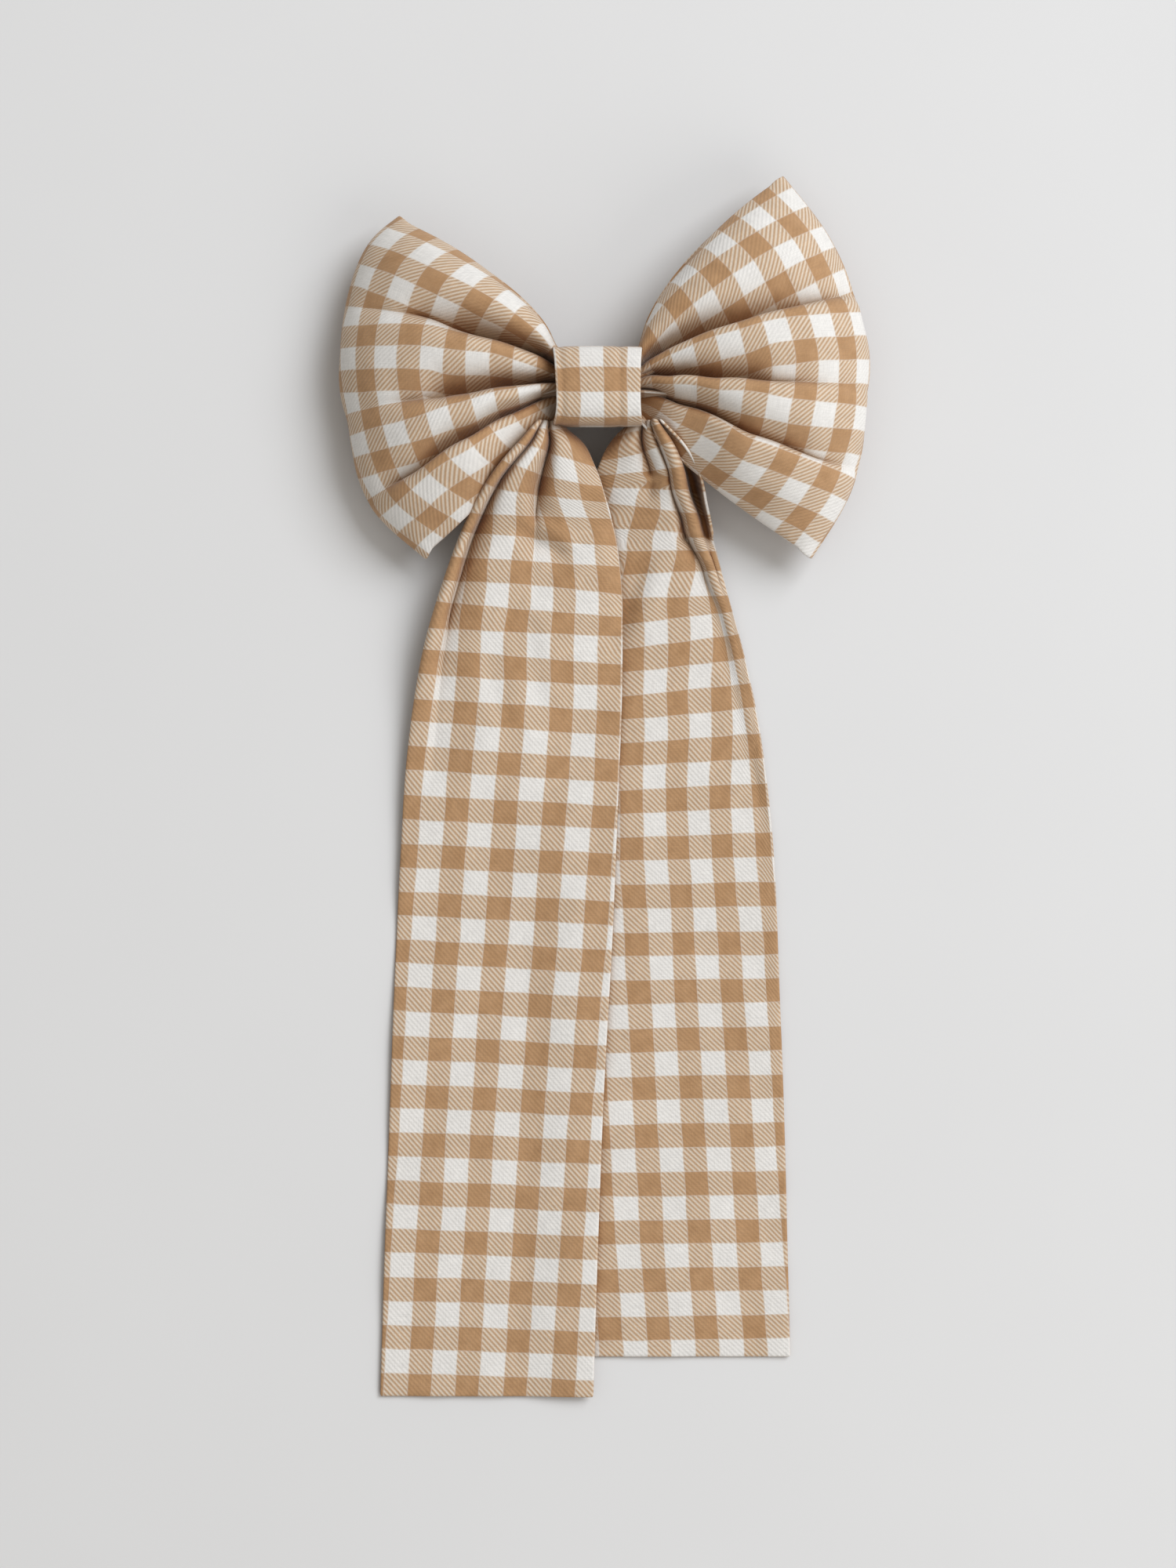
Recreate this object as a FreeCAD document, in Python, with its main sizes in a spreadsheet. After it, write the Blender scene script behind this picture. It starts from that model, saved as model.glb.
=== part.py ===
import FreeCAD, Part
import math
import os
import Sketcher
from FreeCAD import Placement, Rotation, Vector

# A long-tail hair bow of gingham cotton, bound to an 80 mm spring hair clip.
# It lies on its back: the surface is z = 0, the front faces +Z, the tails run to -Y.
# The origin is on the surface under the middle of the knot. All sizes are in millimetres.

doc = FreeCAD.newDocument("HairBow")
sheet = doc.addObject("Spreadsheet::Sheet", "Sizes")

SIZES = {
    # cloth
    "cloth_wall": 1.2,
    "loop_gap": 0.2,
    "waist_width": 17.0,
    "waist_height": 11.8,
    "waist_middle": 18.5,
    "waist_end": 12.5,
    "hollow_start": 14.0,
    # knot band
    "band_length": 23.5,
    "band_width": 21.3,
    "band_bottom": 9.25,
    "band_top": 26.9,
    "band_wall": 0.9,
    "band_corner": 4.5,
    # threads
    "thread_radius": 0.25,
    "thread_reach": 9.4,
    "thread_rise": 7.6,
    "thread_middle": 18.1,
    "thread_pitch": 2.0,
    "stitch_length": 3.0,
    "stitch_pitch": 3.0,
    # tails
    "tail_top": -11.8,
    "step_start": -8.5,
    "step_end": -6.2,
    # clip plate
    "plate_length": 80.0,
    "plate_width": 8.4,
    "plate_thickness": 0.8,
    "plate_top": 12.5,
    "arch_chord": 68.0,
    "arch_rise": 8.0,
    "ear_width": 0.8,
    "ear_length": 4.0,
    # hinge
    "pin_place": -38.0,
    "pin_level": 1.7,
    "pin_radius": 0.5,
    "pin_head_radius": 0.8,
    "pin_head": 0.3,
    "bore_radius": 0.55,
    "eye_radius": 1.2,
    # arm
    "arm_width": 3.2,
    "arm_thickness": 0.8,
    "arm_bottom": 1.0,
    "arm_end": 39.3,
    # tension bar
    "bar_width": 4.4,
    "bar_thickness": 0.5,
    "bar_chord": 62.0,
    "bar_rise": 4.2,
    "bar_middle": -3.0,
    "bar_top": 7.3,
    "bar_eye_inner": 1.9,
    "bar_eye_width": 1.2,
    # clasp
    "clasp_middle": 37.9,
    "clasp_length": 4.2,
    "clasp_width": 6.4,
    "clasp_plate": 0.6,
    "clasp_level": 3.1,
    "cheek_length": 0.6,
    "cheek_bottom": 1.95,
    "tab_length": 2.6,
    "tab_thickness": 1.0,
    "tab_height": 2.9,
    "tab_offset": 2.4,
    "tab_pin_level": 2.5,
    "tab_pin_radius": 0.25,
    "tab_bore_radius": 0.3,
    "rivet_radius": 0.7,
    "rivet_head_radius": 1.2,
    "rivet_head": 0.4,
}

for row, (alias, value) in enumerate(SIZES.items(), start=1):
    sheet.set(f"A{row}", alias)
    sheet.set(f"B{row}", str(value))
    sheet.setAlias(f"B{row}", alias)
doc.recompute()

parts = []


def size(alias):
    return float(getattr(sheet, alias))


def sized(text):
    """An expression on the sheet, from text whose words are the sheet's aliases."""
    words = text.replace("(", " ( ").replace(")", " ) ").split()
    return " ".join(f"Sizes.{word}" if word in SIZES else word for word in words)


def bind(item, **sizes):
    for name, text in sizes.items():
        item.setExpression(name, sized(text))
    return item


def place(item, corner):
    for axis, text in zip("xyz", corner):
        item.setExpression(f"Placement.Base.{axis}", sized(text))
    return item


def block(length, width, height, corner):
    """A box from its three sizes and its lowest corner, all expressions."""
    item = bind(doc.addObject("Part::Box", "Block"), Length=length, Width=width, Height=height)
    return place(item, corner)


def rod(radius, length, start, along):
    """A cylinder from its start point, along X, Y or Z."""
    turns = {
        "x": Rotation(Vector(0, 1, 0), 90),
        "y": Rotation(Vector(1, 0, 0), -90),
        "z": Rotation(),
    }
    item = bind(doc.addObject("Part::Cylinder", "Rod"), Radius=radius, Height=length)
    item.Placement = Placement(Vector(), turns[along])
    return place(item, start)


def fuse(items):
    item = doc.addObject("Part::MultiFuse", "Fuse")
    item.Shapes = items
    return item


def cut(base, tool):
    item = doc.addObject("Part::Cut", "Cut")
    item.Base = base
    item.Tool = tool
    return item


def arch(chord, rise, thickness, width, top, middle):
    """An arched strip: the part of a hoop that stands above its chord."""
    radius = f"( {chord} * {chord} / 4 + {rise} * {rise} ) / ( 2 * {rise} )"
    hub = (middle, f"0 - {width} / 2", f"{top} - {radius}")
    hoop = cut(rod(radius, width, hub, "y"), rod(f"{radius} - {thickness}", width, hub, "y"))
    slab = block(
        chord,
        width,
        f"{rise} + 1",
        (f"{middle} - {chord} / 2", f"0 - {width} / 2", f"{top} - {rise} - {thickness}"),
    )
    item = doc.addObject("Part::MultiCommon", "Arch")
    item.Shapes = [hoop, slab]
    return item


def name_part(item, label):
    item.Label = label
    parts.append(item)
    return item


def shape_part(shape, label):
    item = doc.addObject("Part::Feature", label)
    item.Shape = shape
    item.Placement = Placement()
    return name_part(item, label)


# ---------------------------------------------------------------- cloth


def waist_plug(side):
    """The gathered end of one loop: half of the oval core inside the knot band."""
    oval = Part.Ellipse(
        Vector(0, size("waist_width") / 2, size("waist_middle")),
        Vector(0, 0, size("waist_middle") + size("waist_height") / 2),
        Vector(0, 0, size("waist_middle")),
    )
    face = Part.Face(Part.Wire(oval.toShape()))
    face.translate(Vector(side * size("loop_gap"), 0, 0))
    return face.extrude(Vector(side * (size("waist_end") - size("loop_gap")), 0, 0))


def loop_section(x, low, high, bottom, edge, crown):
    """One upright slice of a loop: a flat back, two short sides and a domed front."""
    back_low, back_high = Vector(x, low, bottom), Vector(x, high, bottom)
    top_low, top_high = Vector(x, low, bottom + edge), Vector(x, high, bottom + edge)
    dome = Part.Arc(top_high, Vector(x, (low + high) / 2, crown), top_low)
    lines = [
        Part.LineSegment(back_low, back_high),
        Part.LineSegment(back_high, top_high),
        dome,
        Part.LineSegment(top_low, back_low),
    ]
    return Part.Wire([line.toShape() for line in lines])


def inner_section(x, low, high, bottom, edge, crown):
    """The hollow of the same slice: a wall in from front and back, open at both sides."""
    wall = size("cloth_wall")
    return loop_section(x, low - 1, high + 1, bottom + wall, edge - 2 * wall, crown - wall)


def make_loop(label, side, slices):
    """A doubled strip of cloth, folded at the outer end and gathered at the waist."""
    outer = Part.makeLoft([loop_section(side * s[0], *s[1:]) for s in slices], True, True)
    hollow = [s for s in slices[1:] if s[0] > size("hollow_start")]
    fold = (hollow[-1][0] - size("cloth_wall"),) + hollow[-1][1:]
    sections = [inner_section(side * s[0], *s[1:]) for s in hollow[:-1] + [fold]]
    inner = Part.makeLoft(sections, True, True)
    shape = outer.cut(inner).fuse(waist_plug(side)).removeSplitter()
    return shape_part(shape.Solids[0] if len(shape.Solids) == 1 else shape, label)


# Slices from the waist to the outer fold: distance from the middle, lower edge, upper edge,
# back, height of the side openings, and height of the front's crown.
make_loop(
    "left_loop",
    -1,
    [
        (11.0, -8.0, 8.0, 13.5, 5.0, 24.2),
        (17.0, -10.0, 18.0, 12.0, 5.0, 26.0),
        (30.0, -26.0, 30.0, 9.0, 4.5, 27.5),
        (45.0, -42.0, 39.5, 7.0, 4.5, 26.5),
        (54.0, -38.0, 45.0, 6.3, 4.5, 23.5),
        (62.0, -29.0, 36.0, 6.0, 4.5, 20.0),
        (67.5, -12.0, 20.0, 7.0, 4.0, 15.0),
    ],
)
make_loop(
    "right_loop",
    1,
    [
        (11.0, -8.0, 8.0, 13.5, 5.0, 24.2),
        (17.0, -10.0, 19.0, 12.0, 5.0, 26.5),
        (30.0, -24.0, 38.5, 9.0, 4.5, 29.0),
        (42.0, -34.0, 49.0, 7.3, 4.5, 29.0),
        (50.0, -40.5, 54.5, 6.6, 4.5, 27.5),
        (57.5, -44.0, 44.0, 6.2, 4.5, 25.0),
        (66.0, -29.0, 30.0, 6.2, 4.5, 21.0),
        (71.5, -10.0, 14.0, 7.5, 4.0, 16.0),
    ],
)


def strip_section(y, unders):
    """One slice of a tail across its length: unders are the points of its lower face."""
    lower = [Vector(x, y, z) for x, z in unders]
    upper = [point + Vector(0, 0, size("cloth_wall")) for point in reversed(lower)]
    return Part.makePolygon(lower + upper + lower[:1])


def flat_end(slices):
    """The stretch of a tail that lies flat, as one plate with a plane underside."""
    left_side = [Vector(left, y, 0) for y, left, right, z_left, z_right in slices]
    right_side = [Vector(right, y, 0) for y, left, right, z_left, z_right in slices]
    outline = Part.makePolygon(left_side + right_side[::-1] + left_side[:1])
    return Part.Face(outline).extrude(Vector(0, 0, size("cloth_wall")))


def make_tail(label, slices, stepped):
    """A long strip that falls from the knot to the surface and lies flat to its end."""
    sections = []
    for y, left, right, z_left, z_right in slices:
        unders = [(left, z_left), (right, z_right)]
        if stepped:
            unders.insert(1, (size("step_start"), z_left))
            unders.insert(2, (size("step_end"), z_right))
        sections.append(strip_section(y, unders))
    flat = [one for one in slices if one[3] == one[4] == 0]
    if len(flat) < 2:
        return shape_part(Part.makeLoft(sections, True, True), label)
    falling = Part.makeLoft(sections[: 1 - len(flat)], True, True)
    return shape_part(falling.fuse(flat_end(flat)).Solids[0], label)


# Slices from the knot to the end: place along the tail, left and right edges, and the heights
# of the two edges. The left tail's inner margin steps up over the right tail's.
make_tail(
    "left_tail",
    [
        (size("tail_top"), -16.0, -1.5, 20.5, 19.0),
        (-20.0, -23.5, 1.0, 19.0, 16.5),
        (-36.0, -33.5, 4.6, 16.5, 11.0),
        (-50.0, -39.5, 6.2, 10.5, 6.5),
        (-66.0, -45.0, 6.6, 3.8, 2.8),
        (-84.0, -48.5, 6.6, 0.4, 1.7),
        (-92.0, -49.6, 6.4, 0.0, 1.6),
        (-188.0, -55.5, 1.8, 0.0, 1.6),
        (-268.0, -58.2, -1.2, 0.0, 1.6),
    ],
    stepped=True,
)
make_tail(
    "right_tail",
    [
        (size("tail_top"), 1.5, 14.5, 9.4, 9.2),
        (-20.0, -1.5, 22.0, 7.5, 7.0),
        (-39.0, -4.5, 29.6, 3.6, 3.0),
        (-58.0, -5.2, 36.0, 1.0, 0.6),
        (-72.0, -5.2, 40.0, 0.0, 0.0),
        (-108.0, -5.2, 45.7, 0.0, 0.0),
        (-167.0, -5.2, 48.8, 0.0, 0.0),
        (-257.5, -5.2, 51.8, 0.0, 0.0),
    ],
    stepped=False,
)


def plane_of(body, role):
    return next(item for item in body.Origin.OriginFeatures if item.Role == role)


def draw_rectangle(body, width, height, centre):
    """A rectangle on the body's YZ plane, centred across it, from its middle height."""
    sketch = body.newObject("Sketcher::SketchObject", "Outline")
    sketch.AttachmentSupport = [(plane_of(body, "YZ_Plane"), "")]
    sketch.MapMode = "FlatFace"
    corners = [Vector(-1, 1, 0), Vector(1, 1, 0), Vector(1, 2, 0), Vector(-1, 2, 0)]
    for i, corner in enumerate(corners):
        sketch.addGeometry(Part.LineSegment(corner, corners[(i + 1) % 4]), False)
    for i in range(4):
        sketch.addConstraint(Sketcher.Constraint("Coincident", i, 2, (i + 1) % 4, 1))
        sketch.addConstraint(Sketcher.Constraint("Vertical" if i % 2 else "Horizontal", i))
    named = {
        "across": (Sketcher.Constraint("DistanceX", 0, 1, 0, 2, 2.0), width),
        "rise": (Sketcher.Constraint("DistanceY", 1, 1, 1, 2, 1.0), height),
        "reach": (Sketcher.Constraint("DistanceX", -1, 1, 0, 2, 1.0), f"( {width} ) / 2"),
        "level": (Sketcher.Constraint("DistanceY", -1, 1, 0, 1, 1.0), f"{centre} - ( {height} ) / 2"),
    }
    for name, (constraint, text) in named.items():
        index = sketch.addConstraint(constraint)
        sketch.renameConstraint(index, name)
        sketch.setExpression(f"Constraints.{name}", sized(text))
    return sketch


def lengthwise_edges(shape, reach):
    """Names of the straight edges along X whose distance from the X axis line is reach."""
    names = []
    for number, edge in enumerate(shape.Edges, start=1):
        ends = [vertex.Point for vertex in edge.Vertexes]
        if len(ends) == 2 and abs(ends[0].x - ends[1].x) > 1 and abs(abs(ends[0].y) - reach) < 0.01:
            names.append(f"Edge{number}")
    return names


def make_knot_band():
    """The folded strip round the waist: a rounded sleeve, open towards both loops."""
    body = doc.addObject("PartDesign::Body", "knot_band")
    height = "( band_top - band_bottom )"
    middle = "( band_top + band_bottom ) / 2"
    pad = body.newObject("PartDesign::Pad", "Sleeve")
    pad.Profile = draw_rectangle(body, "band_width", height, middle)
    pad.SideType = "Symmetric"
    bind(pad, Length="band_length")
    doc.recompute()
    before = pad.Shape.Volume
    pocket = body.newObject("PartDesign::Pocket", "Inside")
    inner_width = "band_width - 2 * band_wall"
    inner_height = f"{height} - 2 * band_wall"
    pocket.Profile = draw_rectangle(body, inner_width, inner_height, middle)
    pocket.Type = "ThroughAll"
    pocket.SideType = "Symmetric"
    doc.recompute()
    assert pocket.Shape.Volume < 0.5 * before
    inside = body.newObject("PartDesign::Fillet", "InnerCorners")
    inside.Base = (pocket, lengthwise_edges(pocket.Shape, size("band_width") / 2 - size("band_wall")))
    bind(inside, Radius="band_corner - band_wall")
    doc.recompute()
    rounded = body.newObject("PartDesign::Fillet", "Corners")
    rounded.Base = (inside, lengthwise_edges(inside.Shape, size("band_width") / 2))
    bind(rounded, Radius="band_corner")
    doc.recompute()
    return name_part(body, "knot_band")


def make_binding_thread():
    """Five turns round the gathered cloth and the clip plate, under the knot band."""
    turns = []
    for number in range(5):
        x = (number - 2) * size("thread_pitch")
        middle = Vector(x, 0, size("thread_middle"))
        oval = Part.Ellipse(
            middle + Vector(0, size("thread_reach"), 0),
            middle + Vector(0, 0, size("thread_rise")),
            middle,
        )
        path = Part.Wire(oval.toShape())
        start = middle + Vector(0, size("thread_reach"), 0)
        circle = Part.makeCircle(size("thread_radius"), start, Vector(0, 0, 1))
        turns.append(path.makePipeShell([Part.Wire(circle)], True, False))
    return shape_part(Part.makeCompound(turns), "binding_thread")


def make_band_stitches():
    """Three short hand stitches across the band's lapped end, at the back."""
    stitches = []
    for row in (-1, 0, 1):
        start = (
            "0 - stitch_length / 2",
            f"{row} * stitch_pitch",
            "band_bottom - thread_radius - 0.02",
        )
        stitches.append(rod("thread_radius", "stitch_length", start, "x"))
    item = doc.addObject("Part::Compound", "Stitches")
    item.Links = stitches
    return name_part(item, "band_stitches")


# ---------------------------------------------------------------- clip


def make_plate():
    """The arched strip with a flat pad at each end and two ears that hold the hinge pin."""
    under_pad = "plate_top - arch_rise - plate_thickness"
    pad_length = "( plate_length - arch_chord ) / 2"
    pieces = [
        arch("arch_chord", "arch_rise", "plate_thickness", "plate_width", "plate_top", "0"),
        block(
            f"{pad_length} + 0.3",
            "plate_width",
            "plate_thickness",
            ("0 - plate_length / 2", "0 - plate_width / 2", under_pad),
        ),
        block(
            f"{pad_length} + 0.3",
            "plate_width",
            "plate_thickness",
            ("arch_chord / 2 - 0.3", "0 - plate_width / 2", under_pad),
        ),
    ]
    for edge in ("0 - plate_width / 2", "plate_width / 2 - ear_width"):
        corner = ("0 - plate_length / 2", edge, "0")
        pieces.append(block("ear_length", "ear_width", f"{under_pad} + 0.1", corner))
    hinge = ("pin_place", "0 - plate_width", "pin_level")
    plate = cut(fuse(pieces), rod("pin_radius", "2 * plate_width", hinge, "y"))
    rivet = ("clasp_middle", "0", "0")
    return name_part(cut(plate, rod("rivet_radius", "plate_top", rivet, "z")), "barrette_plate")


def make_hinge_pin():
    """A plain pin, headed over outside both ears."""
    reach = "plate_width / 2 + pin_head"
    shank_start = ("pin_place", f"0 - ( {reach} )", "pin_level")
    pieces = [rod("pin_radius", f"2 * ( {reach} )", shank_start, "y")]
    for edge in (f"0 - ( {reach} )", "plate_width / 2"):
        pieces.append(rod("pin_head_radius", "pin_head", ("pin_place", edge, "pin_level"), "y"))
    return name_part(fuse(pieces), "hinge_pin")


def make_arm():
    """The lower strip, rolled into an eye round the hinge pin."""
    edge = "0 - arm_width / 2"
    pieces = [
        rod("eye_radius", "arm_width", ("pin_place", edge, "pin_level"), "y"),
        block("arm_end - pin_place", "arm_width", "arm_thickness", ("pin_place", edge, "arm_bottom")),
    ]
    bore = rod("bore_radius", "2 * arm_width", ("pin_place", "0 - arm_width", "pin_level"), "y")
    return name_part(cut(fuse(pieces), bore), "barrette_arm")


def make_tension_bar():
    """The arched spring strip, with an eye on each side of the arm's."""
    bar_start = "( bar_middle - bar_chord / 2 )"
    low = "bar_top - bar_rise - bar_thickness"
    reach = "( bar_eye_inner + bar_eye_width )"
    pieces = [
        arch("bar_chord", "bar_rise", "bar_thickness", "bar_width", "bar_top", "bar_middle"),
        block("2.5", f"2 * {reach}", "bar_thickness", (f"{bar_start} - 2", f"0 - {reach}", low)),
    ]
    for edge in ("bar_eye_inner", f"0 - {reach}"):
        pieces.append(rod("eye_radius", "bar_eye_width", ("pin_place", edge, "pin_level"), "y"))
        corner = ("pin_place", edge, low)
        pieces.append(block(f"{bar_start} - pin_place", "bar_eye_width", "bar_thickness", corner))
    bore = rod("bore_radius", f"4 * {reach}", ("pin_place", f"0 - 2 * {reach}", "pin_level"), "y")
    return name_part(cut(fuse(pieces), bore), "tension_bar")


def make_clasp_base():
    """A small bracket under the plate's end: a flat top and two cheeks."""
    near = "( clasp_middle - clasp_length / 2 )"
    far = "( clasp_middle + clasp_length / 2 )"
    half = "0 - clasp_width / 2"
    cheek = "clasp_level - cheek_bottom + 0.1"
    pieces = [
        block("clasp_length", "clasp_width", "clasp_plate", (near, half, "clasp_level")),
        block("cheek_length", "clasp_width", cheek, (near, half, "cheek_bottom")),
        block("cheek_length", "clasp_width", cheek, (f"{far} - cheek_length", half, "cheek_bottom")),
    ]
    holes = [rod("rivet_radius", "plate_top", ("clasp_middle", "0", "0"), "z")]
    for side in ("tab_offset", "0 - tab_offset"):
        start = (f"{near} - 1", side, "tab_pin_level")
        holes.append(rod("tab_pin_radius", "clasp_length + 2", start, "x"))
    return name_part(cut(fuse(pieces), fuse(holes)), "clasp_base")


def make_clasp_pins():
    """The two thin pins that the clasp tabs turn on."""
    near = "clasp_middle - clasp_length / 2"
    pins = []
    for side in ("tab_offset", "0 - tab_offset"):
        pins.append(rod("tab_pin_radius", "clasp_length", (near, side, "tab_pin_level"), "x"))
    item = doc.addObject("Part::Compound", "Pins")
    item.Links = pins
    return name_part(item, "clasp_pins")


def make_clasp_tab(label, side):
    """One jaw of the clasp: a small block on its pin, beside the arm's tip."""
    body = doc.addObject("PartDesign::Body", label)
    pad = body.newObject("PartDesign::Pad", "Jaw")
    pad.Profile = draw_rectangle(body, "tab_thickness", "tab_height", "tab_height / 2")
    pad.SideType = "Symmetric"
    bind(pad, Length="tab_length")
    doc.recompute()
    before = pad.Shape.Volume
    sketch = body.newObject("Sketcher::SketchObject", "Bore")
    sketch.AttachmentSupport = [(plane_of(body, "YZ_Plane"), "")]
    sketch.MapMode = "FlatFace"
    centre = Vector(0, size("tab_pin_level"), 0)
    sketch.addGeometry(Part.Circle(centre, Vector(0, 0, 1), size("tab_bore_radius")), False)
    named = {
        "radius": (Sketcher.Constraint("Radius", 0, 0.3), "tab_bore_radius"),
        "level": (Sketcher.Constraint("DistanceY", -1, 1, 0, 3, 2.5), "tab_pin_level"),
    }
    for name, (constraint, text) in named.items():
        index = sketch.addConstraint(constraint)
        sketch.renameConstraint(index, name)
        sketch.setExpression(f"Constraints.{name}", sized(text))
    sketch.addConstraint(Sketcher.Constraint("PointOnObject", 0, 3, -2))
    bore = body.newObject("PartDesign::Pocket", "PinBore")
    bore.Profile = sketch
    bore.Type = "ThroughAll"
    bore.SideType = "Symmetric"
    doc.recompute()
    removed = math.pi * size("tab_bore_radius") ** 2 * size("tab_length")
    assert abs(before - bore.Shape.Volume - removed) < 0.01
    place(body, ("clasp_middle", f"{side} * tab_offset", "0"))
    return name_part(body, label)


def make_clasp_rivet():
    """The rivet that joins the clasp base to the plate, headed above and below."""
    plate_upper = "( plate_top - arch_rise )"
    top = ("clasp_middle", "0", plate_upper)
    low = ("clasp_middle", "0", "clasp_level - rivet_head")
    pieces = [
        rod("rivet_radius", f"{plate_upper} - clasp_level + rivet_head", low, "z"),
        rod("rivet_head_radius", "rivet_head", top, "z"),
        rod("rivet_head_radius", "rivet_head", low, "z"),
    ]
    return name_part(fuse(pieces), "clasp_rivet")


make_knot_band()
make_binding_thread()
make_band_stitches()
make_plate()
make_hinge_pin()
make_arm()
make_tension_bar()
make_clasp_base()
make_clasp_pins()
make_clasp_tab("clasp_tab_top", 1)
make_clasp_tab("clasp_tab_bottom", -1)
make_clasp_rivet()
doc.recompute()

for item in doc.Objects:
    if "Invalid" in item.State or "Error" in item.State:
        raise RuntimeError(f"{item.Label} failed: {item.State}")

os.makedirs("parts", exist_ok=True)
for item in parts:
    if item.Shape.isNull() or not item.Shape.isValid():
        raise RuntimeError(f"{item.Label} has no valid shape")
    item.Shape.exportStep(f"parts/{item.Label}.step")
    box = item.Shape.BoundBox
    print(
        f"{item.Label}: {len(item.Shape.Solids)} solid(s), {item.Shape.Volume:.1f} mm3,"
        f" x {box.XMin:.1f}..{box.XMax:.1f}, y {box.YMin:.1f}..{box.YMax:.1f},"
        f" z {box.ZMin:.1f}..{box.ZMax:.1f}"
    )
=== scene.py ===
import math

import bpy
import numpy as np
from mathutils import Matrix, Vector


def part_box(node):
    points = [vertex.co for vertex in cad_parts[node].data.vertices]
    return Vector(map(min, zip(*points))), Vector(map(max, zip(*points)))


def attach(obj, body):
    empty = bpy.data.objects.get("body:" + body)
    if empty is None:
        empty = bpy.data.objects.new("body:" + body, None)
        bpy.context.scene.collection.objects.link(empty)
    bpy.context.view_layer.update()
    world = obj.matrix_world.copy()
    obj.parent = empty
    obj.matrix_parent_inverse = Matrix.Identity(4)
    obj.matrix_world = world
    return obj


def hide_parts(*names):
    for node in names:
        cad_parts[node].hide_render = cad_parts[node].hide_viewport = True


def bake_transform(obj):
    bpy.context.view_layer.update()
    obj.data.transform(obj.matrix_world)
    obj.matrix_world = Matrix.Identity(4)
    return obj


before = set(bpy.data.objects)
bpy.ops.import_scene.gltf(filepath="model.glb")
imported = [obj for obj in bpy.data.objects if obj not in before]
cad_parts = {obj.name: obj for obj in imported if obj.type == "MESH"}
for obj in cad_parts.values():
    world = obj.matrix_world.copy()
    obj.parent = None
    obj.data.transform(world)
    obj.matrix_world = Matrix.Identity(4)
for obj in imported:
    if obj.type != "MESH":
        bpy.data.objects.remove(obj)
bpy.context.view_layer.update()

# A long-tail gingham hair bow that lies on its back on a pale surface, seen from above.
# Cloth shapes are worked out in millimetres in the frame's axes and written in metres.

MM = 0.001

CHECK = 6.43  # one check of the gingham, about 1/4 inch
STRIP_WIDTH = 112.0  # the loops' strip, across its folds
TAIL_WIDTH = 57.2
CLOTH = 0.8  # a doubled layer of cotton
BAND_CLOTH = 0.7  # the knot band's layer, pulled a little thinner
LYING = 0.6 * CLOTH  # height of the cloth's middle where it lies on the surface

# The profile of a fold, from a valley up to a crest.
ROLL_SHARE = 0.44  # the part of a fold's depth in its rounded shoulder
ROLL_WIDTH = 0.62  # that shoulder, as a fraction of the way from valley to crest
DIVE_SHARE = 0.32  # the part of a fold's depth in its steep last stretch
DIVE_WIDTH = 0.11  # that stretch, as a fraction of the way from valley to crest
SLOPE_SHARPNESS = 0.5  # how much of the shoulder and the steep stretch a pleat's soft side has
STEEP_DEPTH = 5.0  # folds shallower than this have a softer bottom

# How the cloth's real width is fitted between its crests.
DEPTH_STEPS = 12  # halvings of the range that each valley's depth is searched in
LEAST_DEPTH = 0.02  # the shallowest a valley can be, as a share of its limit
EASE = 1.1  # cloth this much longer than its place only ripples
TUCK_SHARPNESS = 10  # how closely the skipped cloth keeps to the valley's bottom


# ---------------------------------------------------------------- small tools


def hermite(points, knots, at):
    """A smooth curve through points that lie at the knots, read at the places at."""
    slopes = np.gradient(points, knots, axis=0)
    i = np.clip(np.searchsorted(knots, at, side="right") - 1, 0, len(knots) - 2)
    width = (knots[i + 1] - knots[i])[..., None]
    t = ((at - knots[i]) / (knots[i + 1] - knots[i]))[..., None]
    a, b = points[i], points[i + 1]
    sa, sb = slopes[i] * width, slopes[i + 1] * width
    return (
        a * (2 * t**3 - 3 * t**2 + 1)
        + sa * (t**3 - 2 * t**2 + t)
        + b * (3 * t**2 - 2 * t**3)
        + sb * (t**3 - t**2)
    )


def run_up(points):
    """The length of a path up to each of its points."""
    steps = np.linalg.norm(np.diff(points, axis=0), axis=1)
    return np.concatenate([[0], np.cumsum(steps)])


def through(points, at):
    """A smooth curve through the points, read at fractions of its length from 0 to 1."""
    points = np.asarray(points, float)
    steps = np.linalg.norm(np.diff(points, axis=0), axis=1)
    knots = np.concatenate([[0], np.cumsum(steps)]) / steps.sum()
    return hermite(points, knots, np.clip(np.asarray(at, float), 0, 1))


def table(rows, at):
    """Reads a table whose first column is the place: the other columns, smoothly between rows."""
    rows = np.asarray(rows, float)
    i = int(np.clip(np.searchsorted(rows[:, 0], at, side="right") - 1, 0, len(rows) - 2))
    t = float(np.clip((at - rows[i, 0]) / (rows[i + 1, 0] - rows[i, 0]), 0, 1))
    t = t * t * (3 - 2 * t)
    return rows[i, 1:] * (1 - t) + rows[i + 1, 1:] * t


def smooth_step(value, low, high):
    """0 up to low, 1 from high on, and a smooth rise between them."""
    t = np.clip((value - low) / (high - low), 0, 1)
    return t * t * (3 - 2 * t)


def fold_lines(lines, way):
    """Each fold line at one distance: its place across the strip and its depth."""
    return np.array([table(rows, way) for rows in lines])


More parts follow.
